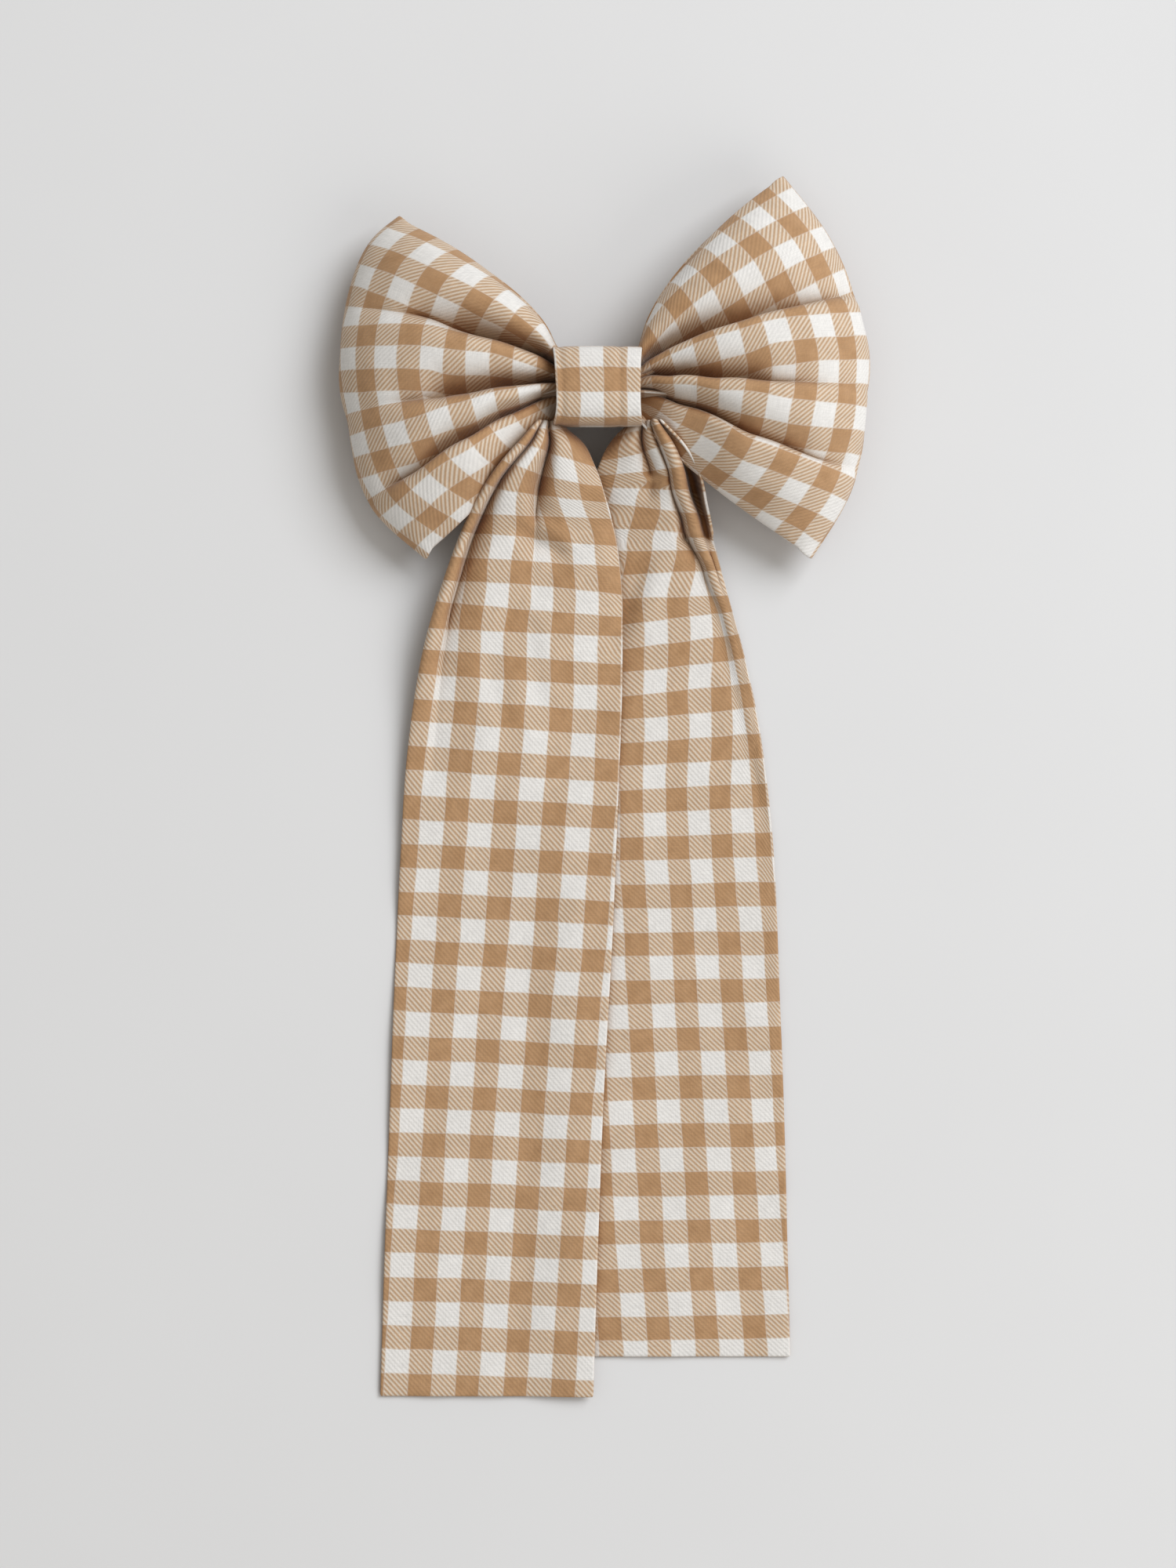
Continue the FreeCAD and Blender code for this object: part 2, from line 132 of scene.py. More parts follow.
def folded(across, lines, pleated):
    """Depth of the cloth across fold lines that are a valley and a crest in turn.

    The cloth falls away gently from a crest and dives in the last stretch before a valley. In
    a pleat, only the side that comes before the valley does so fully, and the side after the
    valley is softer."""
    places, depths = lines[:, 0], lines[:, 1]
    i = np.clip(np.searchsorted(places, across, side="right") - 1, 0, len(places) - 2)
    t = np.clip((across - places[i]) / (places[i + 1] - places[i]), 0, 1)
    from_valley = i % 2 == 0
    rise = np.where(from_valley, t, 1 - t)
    dome = np.sin(0.5 * math.pi * rise)
    roll = np.sin(0.5 * math.pi * np.minimum(rise / ROLL_WIDTH, 1))
    dive = 1 - np.exp(-rise / DIVE_WIDTH)
    sharp = np.where(from_valley & pleated, SLOPE_SHARPNESS, 1.0)
    steep = DIVE_SHARE * sharp * np.clip(np.maximum(depths[i], depths[i + 1]) / STEEP_DEPTH, 0, 1)
    rolled = ROLL_SHARE * sharp
    rise = (1 - rolled - steep) * dome + rolled * roll + steep * dive
    share = np.where(from_valley, rise, 1 - rise)
    return depths[i] * (1 - share) + depths[i + 1] * share


def gathered_row(shape, across, lines, flat_lines, width, count, pleated):
    """One row of points across a gathered strip, and where each one is across the flat cloth.

    Each valley is made as deep as the cloth between its two crests needs, down to the depth
    that its line allows. Cloth that still has no room isn't in the mesh: the pattern skips it
    at the valley's bottom."""
    valleys = np.arange(0, len(lines), 2)
    anchors = np.concatenate([[0], np.arange(1, len(lines), 2), [len(lines) - 1]])
    first, last = flat_lines[0, 0], flat_lines[-1, 0]
    cloth_at = width * (flat_lines[anchors, 0] - first) / (last - first)
    low, high = np.full(len(valleys), LEAST_DEPTH), np.ones(len(valleys))
    for _ in range(DEPTH_STEPS):
        middle = (low + high) / 2
        now = lines.copy()
        now[valleys, 1] *= middle
        deep = folded(across, now, pleated)
        points = shape(deep)
        steps = np.linalg.norm(np.diff(points, axis=0), axis=1)
        place = np.concatenate([[0], np.cumsum(steps)])
        short = np.diff(np.interp(lines[anchors, 0], across, place)) < np.diff(cloth_at)
        low, high = np.where(short, middle, low), np.where(short, high, middle)
    cloth = np.zeros(len(across))
    ends = np.clip(np.searchsorted(across, lines[anchors, 0]), 0, len(across) - 1)
    for k, (i, j) in enumerate(zip(ends[:-1], ends[1:])):
        pinch = deep[i : j + 1] / max(deep[i : j + 1].max(), 1e-6)
        tuck = np.concatenate([[0], np.cumsum(steps[i:j] * pinch[1:] ** TUCK_SHARPNESS)])
        part = place[i : j + 1] - place[i]
        need = cloth_at[k + 1] - cloth_at[k]
        spare = max(0.0, need - EASE * part[-1])
        part = part + spare * tuck / max(tuck[-1], 1e-9)
        cloth[i : j + 1] = cloth_at[k] + part * need / max(part[-1], 1e-9)
    want = np.linspace(0, place[-1], count)
    even = np.stack([np.interp(want, place, points[:, k]) for k in range(3)], axis=1)
    return even, np.interp(want, place, cloth)


def crease(x, y, start, end, height, width):
    """A soft bend along a line on the cloth: up on its left side, down on its right."""
    (ax, ay), (bx, by) = start, end
    length = math.hypot(bx - ax, by - ay)
    dx, dy = (bx - ax) / length, (by - ay) / length
    along = ((x - ax) * dx + (y - ay) * dy) / length
    off = ((y - ay) * dx - (x - ax) * dy) / width
    window = smooth_step(along, -0.25, 0.2) * smooth_step(-along, -1.25, -0.8)
    return height * off * np.exp(-(off**2)) * window


def ripple(x, y, size, seed):
    """Soft repeatable unevenness between -1 and 1, about size millimetres across."""
    rng = np.random.default_rng(seed)
    total = np.zeros(np.broadcast(x, y).shape)
    for _ in range(5):
        angle, phase = rng.uniform(0, 2 * math.pi, 2)
        wave = 2 * math.pi / (size * rng.uniform(0.8, 1.6))
        total += np.sin((x * math.cos(angle) + y * math.sin(angle)) * wave + phase)
    return total / 5


# ---------------------------------------------------------------- materials


class Nodes:
    """A material's node tree, with short calls for the nodes that the patterns use."""

    def __init__(self, name):
        self.material = bpy.data.materials.new(name)
        self.material.use_nodes = True
        self.tree = self.material.node_tree
        self.tree.nodes.clear()
        output = self.tree.nodes.new("ShaderNodeOutputMaterial")
        self.shader = self.tree.nodes.new("ShaderNodeBsdfPrincipled")
        self.tree.links.new(self.shader.outputs[0], output.inputs[0])

    def feed(self, socket, value):
        if hasattr(value, "is_linked"):
            self.tree.links.new(value, socket)
        else:
            socket.default_value = value

    def maths(self, operation, a, b=0.0, c=0.0):
        node = self.tree.nodes.new("ShaderNodeMath")
        node.operation = operation
        for socket, value in zip(node.inputs, (a, b, c)):
            self.feed(socket, value)
        return node.outputs[0]

    def mix(self, factor, a, b, blend="MIX"):
        node = self.tree.nodes.new("ShaderNodeMix")
        node.data_type = "RGBA"
        node.blend_type = blend
        self.feed(node.inputs[0], factor)
        self.feed(node.inputs[6], a)
        self.feed(node.inputs[7], b)
        return node.outputs[2]

    def span(self, value, low, high, out_low, out_high):
        node = self.tree.nodes.new("ShaderNodeMapRange")
        for socket, number in zip(node.inputs, (value, low, high, out_low, out_high)):
            self.feed(socket, number)
        return node.outputs[0]

    def noise(self, vector, scale, detail=2.0):
        node = self.tree.nodes.new("ShaderNodeTexNoise")
        self.feed(node.inputs["Vector"], vector)
        node.inputs["Scale"].default_value = scale
        node.inputs["Detail"].default_value = detail
        return node.outputs[0]

    def uv(self):
        node = self.tree.nodes.new("ShaderNodeUVMap")
        node.uv_map = "Cloth"
        return node.outputs[0]

    def stretched(self, vector, factors):
        node = self.tree.nodes.new("ShaderNodeVectorMath")
        node.operation = "MULTIPLY"
        self.feed(node.inputs[0], vector)
        node.inputs[1].default_value = factors
        return node.outputs[0]

    def split(self, vector):
        node = self.tree.nodes.new("ShaderNodeSeparateXYZ")
        self.feed(node.inputs[0], vector)
        return node.outputs

    def scaled_value(self, colour, factor):
        """The colour, made lighter or darker by the factor."""
        node = self.tree.nodes.new("ShaderNodeHueSaturation")
        self.feed(node.inputs["Color"], colour)
        self.feed(node.inputs["Value"], factor)
        return node.outputs[0]

    def openness(self, distance, samples):
        """1 where nothing stands within the distance, less deep in a fold. The cloth uses it to paint shade
        into its colour.
        """
        node = self.tree.nodes.new("ShaderNodeAmbientOcclusion")
        node.samples = samples
        node.inputs["Distance"].default_value = distance
        return node.outputs["AO"]

    def position(self):
        return self.tree.nodes.new("ShaderNodeTexCoord").outputs["Object"]

    def bump(self, height, distance, strength=1.0, under=None):
        node = self.tree.nodes.new("ShaderNodeBump")
        self.feed(node.inputs["Height"], height)
        node.inputs["Distance"].default_value = distance
        node.inputs["Strength"].default_value = strength
        if under is not None:
            self.feed(node.inputs["Normal"], under)
        return node.outputs[0]


TAN = (0.512, 0.306, 0.160, 1.0)
TAN_DEEP = (0.432, 0.250, 0.124, 1.0)
CREAM = (0.82, 0.80, 0.77, 1.0)
PALE_TAN = (0.77, 0.675, 0.555, 1.0)  # the lighter threads of a half-tone check
PAINTED_PLEAT_SHADE = (0.52, 0.36, 0.23, 1.0)  # painted shade: a darker, warmer tint multiplied into the cloth deep in a pleat, where light bounces between layers
PAINTED_SHADE_REACH = 0.014  # cloth this close counts as the other side of a pleat, for the painted shade
HATCH_LINES = 4.5  # slanted lines over one check
HATCH_DYE = (0.12, 0.86)  # how much dye the palest and the darkest of those lines hold
WEAVE_LINES = 26.0  # threads over one check


def gingham():
    """Checked cotton twill: plain checks, half-tone checks drawn by slanted threads, and painted shade deep
    in its pleats.
    """
    n = Nodes("gingham_twill")
    cloth = n.uv()
    drift = n.noise(cloth, 0.35, 1.0)
    u, v, _ = n.split(cloth)
    wander = n.span(drift, 0.0, 1.0, -0.06, 0.06)
    u = n.maths("ADD", u, wander)
    v = n.maths("ADD", v, wander)

    def stripe(value):
        """1 on every second band, with soft edges."""
        wave = n.maths("SINE", n.maths("MULTIPLY", value, math.pi))
        return n.span(wave, -0.10, 0.10, 0.0, 1.0)

    along, across = stripe(u), stripe(v)
    slant = n.maths("SUBTRACT", u, v)
    wave = n.maths("SINE", n.maths("MULTIPLY", slant, 2 * math.pi * HATCH_LINES))
    hatch = n.span(wave, -0.85, 0.85, *HATCH_DYE)
    both = n.maths("MULTIPLY", along, across)
    either = n.maths("MAXIMUM", along, across)
    one = n.maths("SUBTRACT", either, both)

    uneven = n.noise(cloth, 1.7, 3.0)
    dyed = n.mix(n.span(uneven, 0.3, 0.7, 0.0, 1.0), TAN, TAN_DEEP)
    half = n.mix(hatch, PALE_TAN, dyed)
    colour = n.mix(both, n.mix(one, CREAM, half), dyed)
    warp = n.noise(n.stretched(cloth, (1.5, 30.0, 1.0)), 1.0, 2.0)
    weft = n.noise(n.stretched(cloth, (30.0, 1.5, 1.0)), 1.0, 2.0)
    slubs = n.maths("ADD", warp, weft)
    shade = n.span(slubs, 0.75, 1.25, 0.90, 1.06)
    colour = n.scaled_value(colour, shade)
    # Painted shade: the colour is multiplied by a darker, warmer tint where the cloth is sheltered deep in a
    # pleat.
    deep = n.span(n.openness(PAINTED_SHADE_REACH, 6), 0.30, 0.92, 1.0, 0.0)
    n.feed(n.shader.inputs["Base Color"], n.mix(deep, colour, PAINTED_PLEAT_SHADE, "MULTIPLY"))

    threads_u = n.maths("SINE", n.maths("MULTIPLY", u, 2 * math.pi * WEAVE_LINES))
    threads_v = n.maths("SINE", n.maths("MULTIPLY", v, 2 * math.pi * WEAVE_LINES))
    weave = n.maths("MULTIPLY", threads_u, threads_v)
    twill = n.bump(wave, 0.00005, 0.6)
    fine = n.bump(weave, 0.00003, 0.5, twill)
    creases = n.bump(n.noise(cloth, 0.55, 4.0), 0.0009, 0.5, fine)
    n.feed(n.shader.inputs["Normal"], creases)
    n.feed(n.shader.inputs["Roughness"], n.span(slubs, 0.7, 1.3, 0.82, 0.95))
    n.shader.inputs["Sheen Weight"].default_value = 0.25
    n.shader.inputs["Sheen Roughness"].default_value = 0.45
    n.shader.inputs["Specular IOR Level"].default_value = 0.25
    return n.material


THREAD_LIGHT = (0.70, 0.62, 0.50, 1)
THREAD_DARK = (0.55, 0.46, 0.35, 1)
THREAD_TWIST = 0.0006  # length of one turn of the thread's strands


def sewing_thread():
    """Twisted polyester thread, a little shiny."""
    n = Nodes("sewing_thread")
    place = n.position()
    x, y, z = n.split(place)
    twist = n.maths("ADD", n.maths("ADD", x, y), z)
    wave = n.maths("SINE", n.maths("MULTIPLY", twist, 2 * math.pi / THREAD_TWIST))
    strand = n.mix(n.span(wave, -1, 1, 0, 1), THREAD_LIGHT, THREAD_DARK)
    n.feed(n.shader.inputs["Base Color"], strand)
    n.feed(n.shader.inputs["Normal"], n.bump(wave, 0.00008))
    n.feed(n.shader.inputs["Roughness"], n.span(n.noise(place, 900.0), 0.3, 0.7, 0.45, 0.65))
    return n.material


def plated_steel(name, colour, dull, brush):
    """Nickel-plated steel with fine brushing, faint handling marks and duller patches."""
    n = Nodes(name)
    place = n.position()
    grain = n.noise(n.stretched(place, brush), 1.0, 3.0)
    patches = n.noise(place, 160.0, 4.0)
    worn = tuple(0.82 * c for c in colour[:3]) + (1.0,)
    n.feed(n.shader.inputs["Base Color"], n.mix(n.span(patches, 0.35, 0.75, 0.0, 1.0), colour, worn))
    rough = n.maths("ADD", n.span(grain, 0.3, 0.7, 0.0, 0.16), n.span(patches, 0.3, 0.7, dull, dull + 0.12))
    n.feed(n.shader.inputs["Roughness"], rough)
    n.feed(n.shader.inputs["Normal"], n.bump(grain, 0.00002, 0.5))
    n.shader.inputs["Metallic"].default_value = 1.0
    return n.material


SURFACE_DARK = (0.758, 0.760, 0.765, 1)
SURFACE_LIGHT = (0.772, 0.775, 0.780, 1)


def tabletop():
    """The pale, matt surface under the bow."""
    n = Nodes("pale_surface")
    mottle = n.noise(n.position(), 9.0, 3.0)
    n.feed(n.shader.inputs["Base Color"], n.mix(n.span(mottle, 0.3, 0.7, 0, 1), SURFACE_DARK, SURFACE_LIGHT))
    n.shader.inputs["Roughness"].default_value = 0.9
    n.shader.inputs["Specular IOR Level"].default_value = 0.1
    return n.material


GINGHAM = gingham()


# ---------------------------------------------------------------- cloth meshes


def sheet_mesh(name, rows, cloth_u, cloth_v, thickness=CLOTH):
    """A cloth object from rows of points, with its flat-cloth coordinates as a UV map."""
    rows = np.asarray(rows, float)
    count, across = rows.shape[:2]
    index = np.arange(count * across).reshape(count, across)
    quads = np.stack([index[:-1, :-1], index[1:, :-1], index[1:, 1:], index[:-1, 1:]], axis=-1)
    mesh = bpy.data.meshes.new(name)
    mesh.from_pydata((rows.reshape(-1, 3) * MM).tolist(), [], quads.reshape(-1, 4).tolist())
    mesh.update()
    layer = mesh.uv_layers.new(name="Cloth")
    flat = np.stack([cloth_u.reshape(-1), cloth_v.reshape(-1)], axis=1) / CHECK
    corner = np.empty(len(mesh.loops), dtype=np.int32)
    mesh.loops.foreach_get("vertex_index", corner)
    layer.data.foreach_set("uv", flat[corner].reshape(-1))
    mesh.polygons.foreach_set("use_smooth", [True] * len(mesh.polygons))
    piece = bpy.data.objects.new(name, mesh)
    bpy.context.scene.collection.objects.link(piece)
    mesh.materials.append(GINGHAM)
    solid = piece.modifiers.new("thickness", "SOLIDIFY")
    solid.thickness = thickness * MM
    solid.offset = 0.0
    smooth = piece.modifiers.new("smooth", "SUBSURF")
    smooth.levels = smooth.render_levels = 1
    return piece


# The side of a loop, from the waist over the front to the outer fold and back along the
# underside: fraction of the way out, and height.
RING = [
    (-0.16, 21.0),
    (0.00, 22.6),
    (0.20, 25.6),
    (0.45, 27.4),
    (0.70, 25.6),
    (0.88, 21.0),
    (0.975, 16.0),
    (1.00, 12.6),
    (0.975, 9.3),
    (0.88, 7.4),
    (0.70, 6.9),
    (0.45, 8.4),
    (0.20, 12.0),
    (0.00, 15.6),
    (-0.16, 17.0),
]
RING_ROWS = 76
RING_ACROSS = 130
NEAR = 16  # columns on each side over which the cloth's length is evened out
TURN = 0.12  # the part of the way round a loop over which its front turns into its back
WAIST_MIDDLE = 18.9  # height of the middle between a loop's front and back, at the waist
MIDDLE_FALL = 6.3  # how far that middle falls by the outer fold
MARGIN_FLATNESS = 0.55  # how much closer to that middle the front and back are at the margins
FOLD_OVERLAP = 0.08  # how far a full valley slips under the crest beside it
FULL_DEPTH = 9.0  # a valley this deep is a full one
DROOP = 3.0  # how much lower than RING says the outer fold hangs
UNEVEN = 0.28  # height of the loops' own unevenness


def make_loop(name, side, waist, outline, spread, front, back, crown, phase):
    """One loop: a strip gathered at the waist, which runs out to the outer fold and back.

    side is -1 on the left and 1 on the right. waist gives the strip's bottom and top where it is
    gathered, and outline runs along the outer fold from the bottom corner to the top one. front
    and back are fold lines, read by the fraction of the way out. spread says how quickly the
    cloth fans out at the bottom, the middle and the top, and crown how far its front swells.
    phase is the pattern's start, along and across."""
    reach = abs(outline[len(outline) // 2][0]) - abs(waist[0][0])
    ring = through([(a * reach, 0.0, b) for a, b in RING], np.linspace(0, 1, RING_ROWS))
    out, height = ring[:, 0] / reach, ring[:, 2]
    facing = -np.clip(np.linspace(-1, 1, RING_ROWS) / TURN, -1, 1)  # 1 in front, -1 behind
    rows, across = [], []
    fine = np.linspace(-1, 1, 601)
    edge = through([(x, y, 0) for x, y in outline], (fine + 1) / 2)
    start_x = np.interp(fine, [-1, 1], [waist[0][0], waist[1][0]])
    start_y = np.interp(fine, [-1, 1], [waist[0][1], waist[1][1]])
    power = np.interp(fine, [-1, 0, 1], spread)
    for r, z_ring, face in zip(out, height, facing):
        way = min(max(r, 0.0), 1.0)
        middle = WAIST_MIDDLE - MIDDLE_FALL * way
        z_crest = middle + (z_ring - middle) * (1 - MARGIN_FLATNESS * np.abs(fine) ** 3)
        if z_ring > middle:
            z_crest = z_crest + crown * math.sin(math.pi * way) * (1 - fine**2)
        z_crest = z_crest - DROOP * way**3
        plan = front if face > 0 else back

        def shape(deep):
            shift = -FOLD_OVERLAP * np.clip(deep / FULL_DEPTH, 0, 1) ** 2 * (1 - 0.4 * way)
            p = np.clip(fine + shift, -1, 1)
            x = start_x + (np.interp(p, fine, edge[:, 0]) - start_x) * r
            y = start_y + (np.interp(p, fine, edge[:, 1]) - start_y) * way**power
            return np.stack([x - side * deep * (1 - abs(face)), y, z_crest - face * deep], axis=1)

        lines, flat_lines = fold_lines(plan, way), fold_lines(plan, 1.0)
        row, cloth = gathered_row(shape, fine, lines, flat_lines, STRIP_WIDTH, RING_ACROSS, True)
        rows.append(row)
        across.append(cloth)
    rows = np.array(rows)
    steps = np.linalg.norm(np.diff(rows, axis=0), axis=2)
    near = np.pad(steps, ((0, 0), (NEAR, NEAR)), mode="edge")
    local = np.stack([near[:, k : k + RING_ACROSS] for k in range(2 * NEAR + 1)]).mean(axis=0)
    along = np.concatenate([np.zeros((1, RING_ACROSS)), np.cumsum(local, axis=0)])
    fold = along[int(np.argmax(out))]
    cloth_u = along - fold + fold.mean() + phase[0]
    cloth_v = side * np.array(across) + phase[1]
    uneven = ripple(cloth_u, cloth_v, 26.0, 3 + side)
    uneven = uneven + 0.4 * ripple(cloth_u, cloth_v, 11.0, 7 + side)
    rows[:, :, 2] += UNEVEN * uneven * smooth_step(out, 0.15, 0.5)[:, None]
    return sheet_mesh(name, rows, cloth_u, cloth_v), along[-1].mean()


# Fold lines of the loops, from the bottom margin up: a valley and a crest in turn. Each row is
# the fraction of the way out, the place across (-1 to 1), and a valley's depth limit or a
# crest's drop.
LEFT_FRONT = [
    # bottom margin
    [(0.0, -1.0, 5.0), (0.5, -1.0, 7.5), (1.0, -1.0, 2.0)],
    # crest of the lowest lobe
    [(0.0, -0.40, 4.0), (0.25, -0.46, 3.0), (0.5, -0.56, 0.3), (1.0, -0.68, 0.0)],
    # valley
    [
        (0.0, -0.20, 11.0), (0.23, -0.33, 12.0), (0.45, -0.45, 12.0), (0.75, -0.56, 5.0),
        (1.0, -0.59, 1.0),
    ],
    # crest of the second lobe
    [
        (0.0, -0.05, 0.5), (0.25, -0.15, 0.3), (0.45, -0.22, 0.8), (0.7, -0.26, 0.4),
        (1.0, -0.26, 0.0),
    ],
    # valley
    [
        (0.0, 0.06, 11.0), (0.2, 0.02, 12.0), (0.42, -0.04, 13.0), (0.65, -0.09, 4.5),
        (0.85, -0.11, 1.4), (1.0, -0.12, 0.6),
    ],
    # crest of the third lobe
    [(0.0, 0.36, 1.5), (0.25, 0.36, 1.0), (0.5, 0.30, 1.2), (1.0, 0.24, 0.0)],
    # valley
    [
        (0.0, 0.56, 11.0), (0.2, 0.52, 12.0), (0.36, 0.50, 13.0), (0.6, 0.50, 6.5),
        (0.8, 0.46, 2.4), (1.0, 0.44, 0.6),
    ],
    # crest of the top lobe
    [(0.0, 0.80, 0.0), (0.5, 0.79, 0.0), (1.0, 0.80, 0.0)],
    # top margin
    [(0.0, 1.0, 5.0), (0.5, 1.0, 7.5), (1.0, 1.0, 2.0)],
]
RIGHT_FRONT = [
    # bottom margin
    [(0.0, -1.0, 5.0), (0.5, -1.0, 7.5), (1.0, -1.0, 2.0)],
    # crest of the lowest lobe
    [(0.0, -0.28, 5.5), (0.2, -0.42, 4.5), (0.52, -0.60, 0.6), (1.0, -0.60, 0.0)],
    # valley
    [
        (0.0, -0.06, 11.0), (0.2, -0.29, 12.0), (0.52, -0.48, 13.0), (0.83, -0.53, 5.0),
        (1.0, -0.52, 1.5),
    ],
    # crest of the second lobe
    [
        (0.0, 0.10, 0.8), (0.15, -0.01, 0.6), (0.35, -0.13, 0.2), (0.7, -0.20, 0.0),
        (1.0, -0.20, 0.0),
    ],
    # valley
    [
        (0.0, 0.26, 11.0), (0.15, 0.07, 11.0), (0.35, -0.03, 11.0), (0.6, -0.10, 4.5),
        (0.85, -0.12, 2.0), (1.0, -0.13, 0.8),
    ],
    # crest of the third lobe
    [
        (0.0, 0.40, 0.8), (0.1, 0.36, 0.6), (0.25, 0.345, 0.2), (0.5, 0.31, 0.0),
        (1.0, 0.25, 0.0),
    ],
    # valley
    [
        (0.0, 0.52, 11.0), (0.1, 0.44, 11.0), (0.25, 0.405, 13.0), (0.5, 0.37, 14.0),
        (0.8, 0.345, 9.0), (1.0, 0.33, 3.0),
    ],
    # crest of the top lobe
    [(0.0, 0.78, 0.0), (0.5, 0.76, 0.0), (1.0, 0.76, 0.0)],
    # top margin
    [(0.0, 1.0, 5.0), (0.5, 1.0, 7.5), (1.0, 1.0, 2.0)],
]
LOOP_BACK = [
    # bottom margin
    [(0.0, -1.0, 2.0), (1.0, -1.0, 2.0)],
    # crest
    [(0.0, -0.50, 0.0), (1.0, -0.60, 0.0)],
    # valley
    [(0.0, -0.15, 6.0), (0.6, -0.18, 8.0), (1.0, -0.2, 2.0)],
    # crest
    [(0.0, 0.05, 0.0), (1.0, 0.0, 0.0)],
    # valley
    [(0.0, 0.26, 6.0), (0.6, 0.24, 8.0), (1.0, 0.2, 2.0)],
    # crest
    [(0.0, 0.60, 0.0), (1.0, 0.60, 0.0)],
    # top margin
    [(0.0, 1.0, 2.0), (1.0, 1.0, 2.0)],
]

# The loops' outer folds, from the bottom corner to the top one.
LEFT_OUTLINE = [
    (-47.0, -44.4),
    (-60.5, -29.5),
    (-66.8, -8.0),
    (-68.6, 10.0),
    (-66.0, 26.0),
    (-60.4, 39.6),
    (-54.0, 46.6),
]
RIGHT_OUTLINE = [
    (57.4, -44.4),
    (67.6, -25.5),
    (72.0, -4.0),
    (70.9, 18.5),
    (62.6, 39.0),
    (49.6, 57.2),
]

left_loop, left_length = make_loop(
    "left_loop_cloth",
    side=-1,
    waist=((-11.0, -8.6), (-11.0, 9.6)),
    outline=LEFT_OUTLINE,
    spread=(0.85, 0.85, 0.60),
    front=LEFT_FRONT,
    back=LOOP_BACK,
    crown=1.0,
    phase=(7.5, -2.4),
)
right_loop, right_length = make_loop(
    "right_loop_cloth",
    side=1,
    waist=((11.0, -8.6), (11.0, 8.6)),
    outline=RIGHT_OUTLINE,
    spread=(0.88, 0.85, 0.58),
    front=RIGHT_FRONT,
    back=LOOP_BACK,
    crown=1.6,
    phase=(1.3, 7.9),
)


# A tail from the knot to its end. Each row is a place along it (y), the left and the right
# edge there (x), and the heights of the left and the right edge.
LEFT_TAIL = [
    (-8.6, -15.2, -9.8, 22.0, 17.5),
    (-10.6, -17.0, -8.2, 23.0, 18.5),
    (-13.5, -19.4, -4.6, 24.0, 18.5),
    (-20.0, -25.2, -0.8, 24.0, 16.5),
    (-28.0, -31.0, 2.2, 20.0, 13.5),
    (-36.0, -35.2, 4.4, 15.0, 10.5),
    (-50.0, -40.6, 6.4, 11.5, 6.6),
    (-66.0, -45.6, 6.8, 8.5, 3.8),
    (-84.0, -49.2, 6.6, 5.5, 2.6),
    (-100.0, -51.2, 6.0, 3.4, 2.2),
    (-120.0, -52.5, 5.2, 1.6, 2.1),
    (-140.0, -53.6, 4.4, 0.6, 2.1),
    (-188.0, -55.5, 1.8, 0.6, 2.1),
    (-230.0, -57.0, 0.2, 0.6, 2.1),
    (-268.2, -58.2, -1.0, 0.6, 2.1),
]
RIGHT_TAIL = [
    (-8.4, 9.6, 16.2, 15.0, 22.0),
    (-10.6, 6.6, 18.4, 15.0, 22.0),
    (-13.5, 3.8, 21.4, 14.5, 21.0),
    (-20.0, 0.2, 26.0, 12.0, 18.0),
    (-31.0, -3.6, 29.2, 8.0, 11.0),
    (-46.0, -5.0, 32.6, 3.6, 4.6),
    (-58.0, -5.2, 36.2, 1.4, 2.0),
    (-72.0, -5.2, 40.0, 0.6, 0.8),
    (-85.0, -5.2, 42.8, 0.6, 0.6),
    (-108.0, -5.4, 46.0, 0.6, 0.6),
    (-167.0, -6.0, 49.2, 0.6, 0.6),
    (-257.6, -5.6, 51.8, 0.6, 0.6),
]
# Fold lines of the tails, from the left edge: a valley and a crest in turn. Each row is the
# distance below the knot's middle, the place across (0 to 1), and a valley's depth limit or a
# crest's drop. Each outer margin is rolled into a narrow ridge.
LEFT_FOLDS = [
    # left edge
    [
        (12.0, 0.0, 3.5), (40.0, 0.0, 2.6), (60.0, 0.0, 1.4), (100.0, 0.0, 0.2),
        (270.0, 0.0, 0.0),
    ],
    # crest of the rolled margin
    [(12.0, 0.08, 0.0), (24.6, 0.04, 0.0), (40.0, 0.03, 0.0), (270.0, 0.04, 0.0)],
    # valley beside it
    [
        (12.0, 0.17, 7.5), (24.6, 0.09, 8.0), (40.0, 0.075, 6.5), (55.0, 0.08, 4.5),
        (70.0, 0.10, 2.4), (90.0, 0.12, 1.0), (110.0, 0.12, 0.0),
    ],
    # crest of the left pleat
    [
        (12.0, 0.32, 0.0), (24.6, 0.26, 0.0), (40.0, 0.34, 0.0), (60.0, 0.37, 0.0),
        (80.0, 0.41, 0.0), (270.0, 0.42, 0.0),
    ],
    # valley between the pleats
    [
        (12.0, 0.46, 8.0), (24.6, 0.45, 8.0), (31.0, 0.46, 5.0), (38.0, 0.48, 1.8),
        (48.0, 0.50, 0.5), (60.0, 0.54, 0.0),
    ],
    # crest of the right pleat
    [
        (12.0, 0.68, 0.0), (24.6, 0.74, 0.0), (40.0, 0.82, 0.0), (60.0, 0.84, 0.0),
        (100.0, 0.855, 0.0),
    ],
    # right edge
    [
        (12.0, 1.0, 4.0), (24.6, 1.0, 3.2), (40.0, 1.0, 2.4), (60.0, 1.0, 1.2),
        (100.0, 1.0, 0.2), (270.0, 1.0, 0.0),
    ],
]
